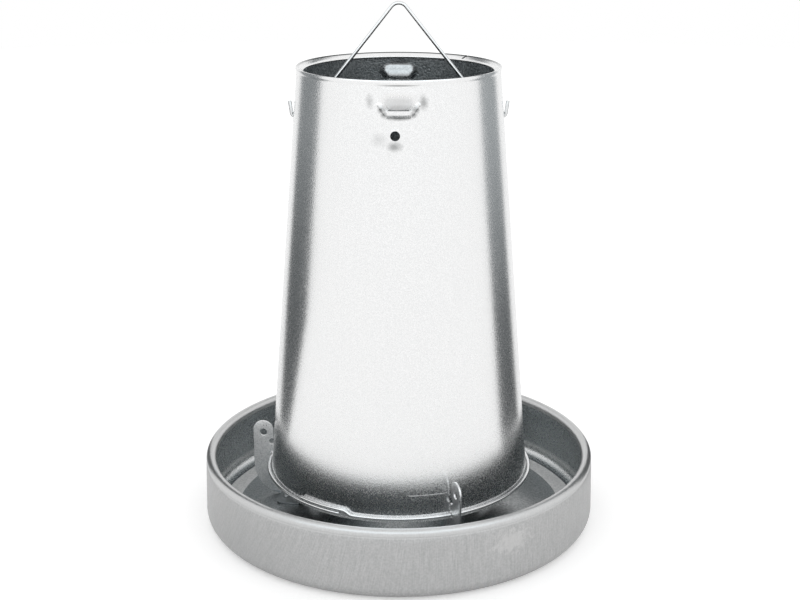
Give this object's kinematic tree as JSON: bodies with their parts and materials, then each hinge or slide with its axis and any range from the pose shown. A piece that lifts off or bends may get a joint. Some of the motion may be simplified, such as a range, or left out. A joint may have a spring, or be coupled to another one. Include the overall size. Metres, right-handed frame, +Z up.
{
  "type": "galvanized feed hopper",
  "caption": "Hanging poultry feeder: conical galvanized hopper held over a round rimmed tray by notched brackets and a spring ring, with a wire hanger.",
  "frame": {"origin": "centre of the tray's underside, at the height of the face that it stands on", "axes": "+Z up along the hopper's axis, -Y towards the camera of the picture, +X to its right"},
  "size_m": [0.4032, 0.4032, 0.5269],
  "materials": {
    "tray_sheet": "satin galvanized sheet",
    "cone_sheet": "galvanized sheet",
    "cone_rivets": "plated",
    "bracket_plate": "galvanized plate",
    "bracket_rivets": "plated",
    "ring_wire": "bright galvanized wire",
    "hopper_sheet": "bright galvanized sheet",
    "hanger_wire": "bright galvanized wire"
  },
  "bodies": {
    "tray": {"tray_pan": "tray_sheet", "spreader_cone": "cone_sheet", "cone_rivet_1": "cone_rivets", "cone_rivet_2": "cone_rivets", "cone_rivet_3": "cone_rivets", "adjuster_bracket_left": "bracket_plate", "adjuster_bracket_front": "bracket_plate", "adjuster_bracket_rear": "bracket_plate", "bracket_rivet_left_1": "bracket_rivets", "bracket_rivet_left_2": "bracket_rivets", "bracket_rivet_front_1": "bracket_rivets", "bracket_rivet_front_2": "bracket_rivets", "bracket_rivet_rear_1": "bracket_rivets", "bracket_rivet_rear_2": "bracket_rivets"},
    "ring": {"retaining_ring": "ring_wire"},
    "hopper": {"hopper_body": "hopper_sheet"},
    "hanger": {"hanger_bail": "hanger_wire"}
  },
  "joints": [
    {"name": "ring_turn", "type": "hinge", "parent": "tray", "child": "ring", "pos_m": [0, 0, 0.0518], "axis": [0, 0, 1], "range_deg": [-45, 36]},
    {"name": "hopper_height", "type": "slide", "parent": "ring", "child": "hopper", "axis": [0, 0, 1], "range_m": [0, 0.0145]},
    {"name": "hanger_swing", "type": "hinge", "parent": "hopper", "child": "hanger", "pos_m": [0, 0, 0.4168], "axis": [1, 0, 0], "range_deg": [-58, 58]}
  ]
}
